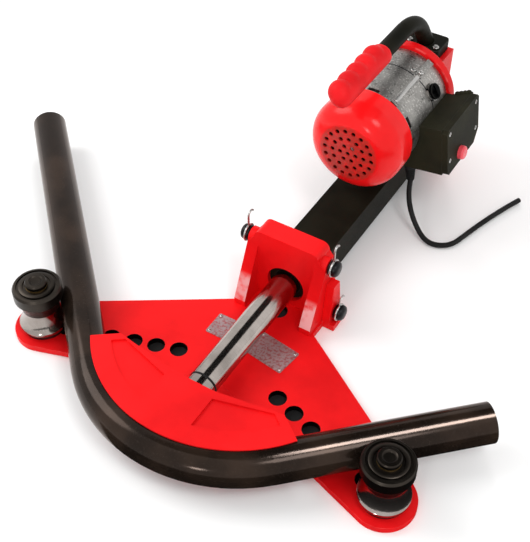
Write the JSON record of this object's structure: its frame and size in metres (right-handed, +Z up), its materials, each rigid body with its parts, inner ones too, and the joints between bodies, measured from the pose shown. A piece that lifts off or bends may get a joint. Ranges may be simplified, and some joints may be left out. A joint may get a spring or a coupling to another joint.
{
  "type": "hydraulic pipe bender",
  "caption": "Electric hydraulic pipe bender lying on a red wing plate, its ram pressing a grooved former and a bent steel pipe against grooved rollers.",
  "frame": {"origin": "point on the wing plate's underside, below the ram axis, at the front face of the head", "axes": "+X to the right of the ram, -Y to the front (former), +Y to the motor, +Z up"},
  "size_m": [0.7222, 0.6392, 0.2455],
  "materials": {
    "red_paint": "gloss red paint on steel",
    "red_gloss": "gloss red enamel",
    "black_paint": "satin black paint",
    "black_rubber": "black rubber",
    "chrome": "hard chrome, ground",
    "pipe_steel": "black-varnished steel pipe",
    "steel": "turned steel",
    "iron": "dark iron",
    "bronze": "bronze",
    "black_plastic": "black plastic",
    "grey_plastic": "dark grey plastic",
    "aluminium": "cast aluminium",
    "plate_aluminium": "thin anodised sheet",
    "red_rubber": "red soft rubber",
    "red_plastic": "red plastic"
  },
  "bodies": {
    "frame": {"base_plate": "red_paint", "head": "red_paint", "pump_block": "red_paint", "rear_ring": "red_paint", "fan_cover": "red_gloss", "cylinder_bar": "black_paint", "gland_nut": "black_paint", "pump_cap": "black_paint", "handle_tube": "black_paint", "handle_foot": "black_paint", "rod_wiper": "black_rubber", "rear_foot": "black_rubber", "cord_gland": "black_rubber", "power_cord": "black_rubber", "pump_cartridge": "steel", "front_bearing": "steel", "rear_bearing": "steel", "oil_plug": "steel", "stator": "iron", "left_brush": "iron", "right_brush": "iron", "left_washer": "iron", "right_washer": "iron", "guide_bush": "bronze", "left_brush_holder": "bronze", "right_brush_holder": "bronze", "left_brush_cap": "black_plastic", "right_brush_cap": "black_plastic", "switch_unit": "black_plastic", "switch_box": "grey_plastic", "switch_lid": "grey_plastic", "motor_housing": "aluminium", "left_data_plate": "plate_aluminium", "right_data_plate": "plate_aluminium", "handle_grip": "red_rubber"},
    "ram": {"ram_rod": "chrome", "piston_seal": "black_rubber", "former": "red_paint", "former_screw": "steel", "pipe": "pipe_steel"},
    "left_roller": {"left_roller": "steel", "left_bush": "bronze"},
    "right_roller": {"right_roller": "steel", "right_bush": "bronze"},
    "left_roller_pin": {"left_roller_pin": "steel"},
    "right_roller_pin": {"right_roller_pin": "steel"},
    "armature": {"rotor": "steel", "commutator": "bronze", "fan": "black_plastic"},
    "push_button": {"push_button": "red_plastic"},
    "release_knob": {"release_knob": "black_plastic"},
    "upper_left_lock": {"upper_left_lock": "black_plastic", "upper_left_clip": "steel"},
    "upper_right_lock": {"upper_right_lock": "black_plastic", "upper_right_clip": "steel"},
    "lower_right_lock": {"lower_right_lock": "black_plastic", "lower_right_clip": "steel"}
  },
  "joints": [
    {"name": "ram_slide", "type": "slide", "parent": "frame", "child": "ram", "axis": [0, 1, 0], "range_m": [0, 0.115]},
    {"name": "motor_spin", "type": "hinge", "parent": "frame", "child": "armature", "pos_m": [0, 0.22, 0.133], "axis": [0, 1, 0], "continuous": true},
    {"name": "button_press", "type": "slide", "parent": "frame", "child": "push_button", "axis": [-0.9903, 0, -0.1392], "range_m": [0, 0.004], "stiffness_N_per_m": 900},
    {"name": "release_turn", "type": "hinge", "parent": "frame", "child": "release_knob", "pos_m": [-0.03, 0.3285, 0.047], "axis": [-1, 0, 0], "range_deg": [0, 180]},
    {"name": "left_roller_spin", "type": "hinge", "parent": "frame", "child": "left_roller", "pos_m": [-0.21397, -0.17074, 0.04], "axis": [0, 0, 1], "continuous": true},
    {"name": "left_pin_pull", "type": "slide", "parent": "frame", "child": "left_roller_pin", "axis": [0, 0, 1], "range_m": [0, 0.085]},
    {"name": "upper_left_lock_pull", "type": "slide", "parent": "frame", "child": "upper_left_lock", "axis": [-1, 0, 0], "range_m": [0, 0.035]},
    {"name": "right_roller_spin", "type": "hinge", "parent": "frame", "child": "right_roller", "pos_m": [0.21397, -0.17074, 0.04], "axis": [0, 0, 1], "continuous": true},
    {"name": "right_pin_pull", "type": "slide", "parent": "frame", "child": "right_roller_pin", "axis": [0, 0, 1], "range_m": [0, 0.085]},
    {"name": "upper_right_lock_pull", "type": "slide", "parent": "frame", "child": "upper_right_lock", "axis": [1, 0, 0], "range_m": [0, 0.035]},
    {"name": "lower_right_lock_pull", "type": "slide", "parent": "frame", "child": "lower_right_lock", "axis": [1, 0, 0], "range_m": [0, 0.035]}
  ]
}
